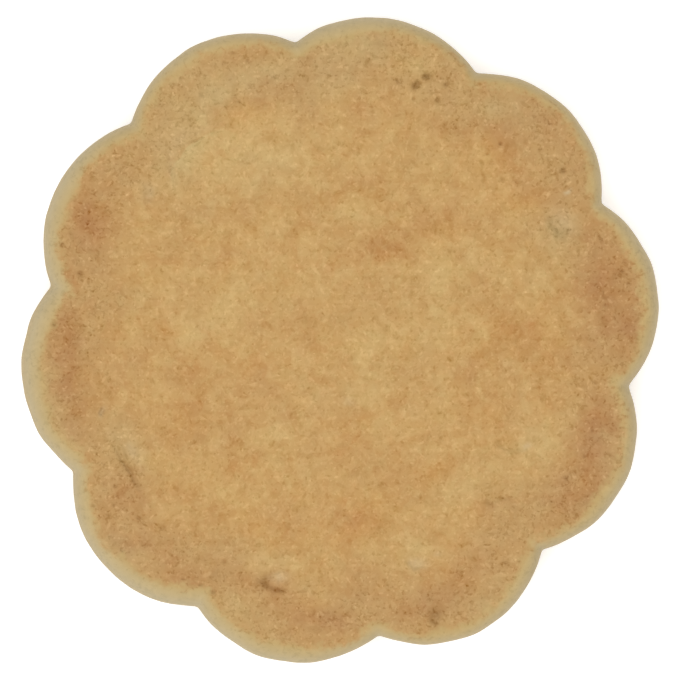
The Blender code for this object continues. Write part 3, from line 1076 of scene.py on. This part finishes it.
    def shaded(self, colour, levels, tint=(1.0, 1.0, 1.0)):
        """Lighten a colour by display levels of 255, times a share for each channel."""
        step = [level * share for level, share in zip(LEVEL_STEP, tint)]
        return self.vector_math("ADD", colour, self.scaled(step, levels))

    def mix(self, share, first, second):
        made = self.node("ShaderNodeMix", data_type="RGBA")
        self.join(share, made.inputs[0])
        self.join(first, made.inputs[6])
        self.join(second, made.inputs[7])
        return made.outputs[2]


def crust_colour(paint, lobes):
    """Paint of the browned crust: patches, blots, orange and greenish places, and pale places by
    the dents, bare crumb with painted light on their lit walls.
    """
    brown = 0.0
    for size, detail, distortion, strength in BROWN_NOISES:
        layer = paint.noise(size, detail, distortion=distortion)
        brown = paint.math("MULTIPLY_ADD", layer, strength, brown)
    brown = paint.weakened(brown, lobes, MOTTLE_LOSS)
    strength = paint.math("MULTIPLY_ADD", lobes, LOBE_PATCH_STRENGTH, PATCH_STRENGTH)
    brown = paint.math("MULTIPLY_ADD", paint.attribute("patches"), strength, brown)
    crust = paint.ramp(paint.math("ADD", brown, MIDDLE_BROWN), CRUST_COLOURS)

    size, levels = BLOT_NOISE
    blots = paint.math("MULTIPLY", paint.noise(size, 0.0, distortion=BLOT_DISTORTION), levels)
    blots, _ = paint.flecks(BLOTS, blots)
    crust = paint.shaded(crust, paint.weakened(blots, lobes, BLOT_LOSS), BLOT_TINT)

    warmth = paint.attribute("warmth")
    for size, strength in WARM_NOISES:
        warmth = paint.math("MULTIPLY_ADD", paint.noise(size, 0.0), strength, warmth)
    for size, fraying, strength in WARM_FLAKES:
        warmth = paint.math("MULTIPLY_ADD", paint.flakes(size, fraying), strength, warmth)
    crust = paint.shaded(crust, warmth, WARM_TINT)
    crust = paint.shaded(crust, lobes, LOBE_TINT)

    # Pale paint by the dents: bare crumb, and painted light on their lit walls
    grain = paint.math("ADD", paint.noise(BARED_AND_LIT_GRAIN, 1.0), 1.0)
    bared_and_lit = paint.math("MULTIPLY", paint.attribute("bared_and_lit"), grain)
    return paint.mix(bared_and_lit, crust, painted(BARED_AND_LIT_COLOUR))


def pores(paint, lobes):
    """Noise that the pores come from, and where they are open."""
    grain = paint.noise(PORE_SIZE, 1.0, distortion=PORE_DISTORTION)
    depth = paint.math("MULTIPLY_ADD", paint.noise(CLUSTER_SIZE), CLUSTER_STRENGTH, grain)
    depth = paint.math("MULTIPLY_ADD", lobes, PORE_GAIN, depth)
    return grain, paint.smooth_step(depth, *PORE_OPENING)


def crust_share(paint, inward):
    """1 where the crust lies on the dough and 0 on the pale side, with an uneven line."""
    wander = inward
    for size, detail, reach in CRUST_WANDERS:
        layer = paint.noise(size, detail, WANDER_ROUGHNESS)
        wander = paint.math("MULTIPLY_ADD", layer, reach, wander)
    return paint.smooth_step(wander, *CRUST_EDGE)


def fine_levels(paint, levels, crust, lobes):
    """Display levels of the fine grain: the given ones, and strokes where the crust lies."""
    share = paint.math("MULTIPLY_ADD", crust, 1.0 - SIDE_FLECKS, SIDE_FLECKS)
    levels = paint.math("MULTIPLY", levels, share)
    gain = paint.math("MULTIPLY", crust, paint.math("MULTIPLY_ADD", lobes, STROKE_GAIN, 1.0))
    for size, length, width, strength in STROKES:
        stroke = paint.math("MULTIPLY", paint.strokes(size, length, width), gain)
        levels = paint.math("MULTIPLY_ADD", stroke, strength, levels)
    return levels


def painted_shade(paint):
    """Painted shade: display levels that the pits and the steep walls of dents take away."""
    hollow = paint.attribute("hollow")
    dark = paint.math("MULTIPLY_ADD", hollow, PIT_SHADE_GROWTH, PIT_SHADE_LEVELS)
    dark = paint.math("MULTIPLY", dark, hollow)
    return paint.math("MULTIPLY_ADD", paint.attribute("crease_shade"), CREASE_SHADE_LEVELS, dark)


def baked_dough():
    """Dry baked dough: a browned crust on the face, a paler side and underside, painted shade in
    pits, pores and steep dent walls, and painted light by the dents and on the side.
    """
    paint = Paint("baked dough")
    inward = paint.attribute("inward")
    lobes = paint.smooth_step(inward, *LOBE_ZONE)
    grain, open_pores = pores(paint, lobes)
    levels, torn = paint.flecks(TORN, TORN_START)
    levels = paint.weakened(levels, lobes, TORN_LOSS)
    # Painted shade in the open pores
    levels = paint.math("MULTIPLY_ADD", open_pores, PORE_SHADE_LEVELS, levels)

    crust = crust_share(paint, inward)
    # The pale side: paler dough, with painted light that lifts its steep part
    side = paint.ramp(paint.math("MULTIPLY", inward, -1.0 / SIDE_REACH), SIDE_COLOURS)
    colour = paint.mix(crust, side, crust_colour(paint, lobes))
    colour = paint.shaded(colour, fine_levels(paint, levels, crust, lobes))
    # Painted shade in the pits and on the dents' steep walls
    colour = paint.shaded(colour, painted_shade(paint), SHADE_TINT)
    paint.join(colour, paint.shader.inputs["Base Color"])
    paint.shader.inputs["Roughness"].default_value = DOUGH_ROUGHNESS
    paint.shader.inputs["Specular IOR Level"].default_value = DOUGH_SPECULAR

    light_fleck, dark_fleck = torn[0], torn[2]
    height = paint.math("MULTIPLY", grain, BUMP_NOISE)
    height = paint.math("MULTIPLY_ADD", light_fleck, BUMP_FLECK, height)
    height = paint.math("MULTIPLY_ADD", dark_fleck, -BUMP_FLECK, height)
    height = paint.math("MULTIPLY_ADD", open_pores, BUMP_PORE, height)
    bump = paint.node("ShaderNodeBump")
    bump.inputs["Strength"].default_value = BUMP_STRENGTH
    bump.inputs["Distance"].default_value = BUMP_HEIGHT * MM
    paint.join(height, bump.inputs["Height"])
    paint.join(bump.outputs[0], paint.shader.inputs["Normal"])
    return paint.material


def floor_material():
    """A plain pale sheet with a faint glow, so that it stays white round the cookie."""
    paint = Paint("pale floor")
    paint.shader.inputs["Base Color"].default_value = (FLOOR_BRIGHTNESS,) * 3 + (1.0,)
    paint.shader.inputs["Roughness"].default_value = FLOOR_ROUGHNESS
    paint.shader.inputs["Emission Color"].default_value = WHITE
    paint.shader.inputs["Emission Strength"].default_value = FLOOR_GLOW
    return paint.material


def add_floor():
    bpy.ops.mesh.primitive_plane_add(size=FLOOR_SIZE, location=(0.0, 0.0, 0.0))
    floor = bpy.context.active_object
    floor.name = "floor"
    floor.data.materials.append(floor_material())


def area_light(name, azimuth, elevation, distance, size, power):
    """A square soft light that looks at the cookie."""
    light = bpy.data.lights.new(name, "AREA")
    light.shape = "SQUARE"
    light.size = size
    light.energy = power
    lamp = bpy.data.objects.new(name, light)
    azimuth, elevation = math.radians(azimuth), math.radians(elevation)
    lamp.location = (
        distance * math.cos(elevation) * math.cos(azimuth),
        distance * math.cos(elevation) * math.sin(azimuth),
        distance * math.sin(elevation),
    )
    lamp.rotation_euler = (math.pi / 2.0 - elevation, 0.0, azimuth + math.pi / 2.0)
    bpy.context.scene.collection.objects.link(lamp)


def add_light():
    for name, settings in LIGHTS.items():
        area_light(name, *settings)
    world = bpy.data.worlds.new("studio")
    bpy.context.scene.world = world
    world.use_nodes = True
    background = world.node_tree.nodes["Background"]
    background.inputs["Color"].default_value = WHITE
    background.inputs["Strength"].default_value = ROOM_LIGHT


def add_camera():
    """A camera straight above the cookie, as in the photograph."""
    data = bpy.data.cameras.new("camera")
    data.sensor_width = SENSOR
    data.sensor_fit = "HORIZONTAL"
    data.lens = LENS
    data.clip_start = NEAREST_VIEW
    camera = bpy.data.objects.new("camera", data)
    distance = FRAME_WIDTH * LENS / SENSOR
    camera.location = (0.0, 0.0, (distance + WIDEST_HEIGHT) * MM)
    bpy.context.scene.collection.objects.link(camera)
    bpy.context.scene.camera = camera


def main():
    cookie = build_cookie()
    cookie.data.materials.append(baked_dough())
    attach(cookie, "root")
    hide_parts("cookie")
    add_floor()
    add_light()
    add_camera()
    bpy.context.scene.view_settings.view_transform = "Standard"


main()
bpy.context.view_layer.update()
